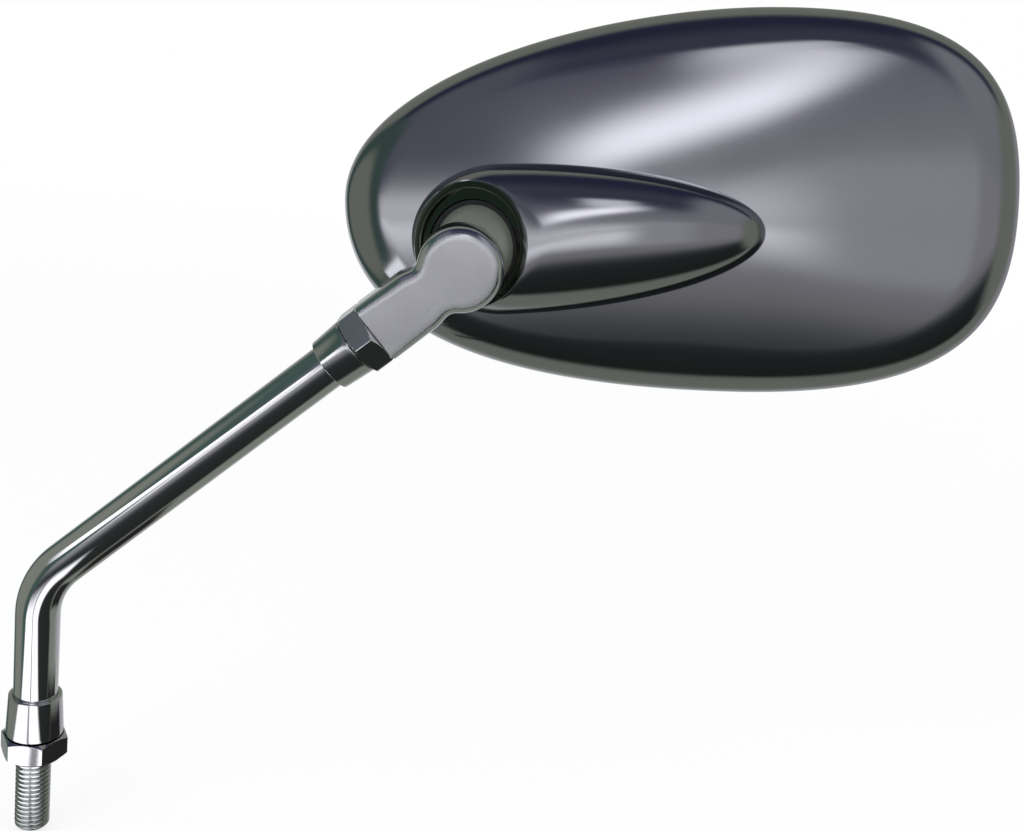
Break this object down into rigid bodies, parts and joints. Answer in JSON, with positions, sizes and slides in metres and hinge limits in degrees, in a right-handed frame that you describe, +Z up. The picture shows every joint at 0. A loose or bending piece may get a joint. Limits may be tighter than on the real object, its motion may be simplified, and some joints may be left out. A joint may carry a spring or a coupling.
{
  "type": "motorcycle mirror",
  "caption": "Handlebar mirror with an egg-shaped plated shell, bullet nacelle, ball joint, knuckle arm and a bent tube stem with a threaded stud.",
  "frame": {"origin": "on the stud's axis, at the seat of the lower lock nut", "axes": "+Z up the stem's lower leg, +X outboard towards the wide end of the shell, -Y towards the back of the shell and the picture's viewer"},
  "size_m": [0.2782, 0.0703, 0.2652],
  "materials": {
    "stem_plating": "bright plated steel tube",
    "collar_plating": "bright plated steel",
    "nut_plating": "bright plated steel",
    "thread_zinc": "zinc-plated steel, rolled thread",
    "arm_plating": "satin plated die casting",
    "ball_plating": "dark plated ball",
    "black_screw": "black oxide",
    "zinc_parts": "zinc-plated steel",
    "liner_plastic": "black nylon",
    "shell_plating": "dark satin chrome plating on moulded plastic",
    "glass_mirror": "silvered glass, slightly convex",
    "pad_foam": "closed-cell foam",
    "bezel_plastic": "black plastic"
  },
  "bodies": {
    "stem": {"stem_tube": "stem_plating", "lower_stud": "thread_zinc", "lower_collar": "collar_plating", "upper_stud": "thread_zinc", "upper_collar": "collar_plating"},
    "lower_nut": {"lower_lock_nut": "nut_plating"},
    "upper_nut": {"upper_lock_nut": "nut_plating"},
    "knuckle": {"knuckle_arm": "arm_plating", "swivel_ball": "ball_plating", "ball_screw": "black_screw", "ball_washer": "zinc_parts"},
    "cup": {"rear_cup": "liner_plastic"},
    "seat_ring": {"front_liner": "liner_plastic"},
    "housing": {"housing_shell": "shell_plating", "clamp_plate": "zinc_parts", "clamp_screws": "zinc_parts", "clamp_washers": "zinc_parts", "mirror_glass": "glass_mirror", "glass_pad": "pad_foam", "glass_bezel": "bezel_plastic"}
  },
  "joints": [
    {"name": "lower_nut_turn", "type": "hinge", "parent": "stem", "child": "lower_nut", "pos_m": [0, 0, 0], "axis": [0, 0, 1], "continuous": true},
    {"name": "upper_nut_turn", "type": "hinge", "parent": "stem", "child": "upper_nut", "pos_m": [0.08877, 0, 0.14092], "axis": [0.7193, 0, 0.6947], "continuous": true},
    {"name": "knuckle_turn", "type": "hinge", "parent": "stem", "child": "knuckle", "pos_m": [0.10927, 0, 0.16072], "axis": [0.7193, 0, 0.6947], "range_deg": [-180, 180]},
    {"name": "ball_spin", "type": "hinge", "parent": "knuckle", "child": "cup", "pos_m": [0.11475, 0.0235, 0.16258], "axis": [0.2266, 0.9709, 0.0769], "continuous": true},
    {"name": "ball_tilt", "type": "hinge", "parent": "cup", "child": "seat_ring", "pos_m": [0.11475, 0.0235, 0.16258], "axis": [0.9889, -0.0869, 0.1207], "range_deg": [-6, 28]},
    {"name": "ball_swing", "type": "hinge", "parent": "seat_ring", "child": "housing", "pos_m": [0.11475, 0.0235, 0.16258], "axis": [-0.1068, 0.1501, 0.9829], "range_deg": [-6, 28]}
  ]
}
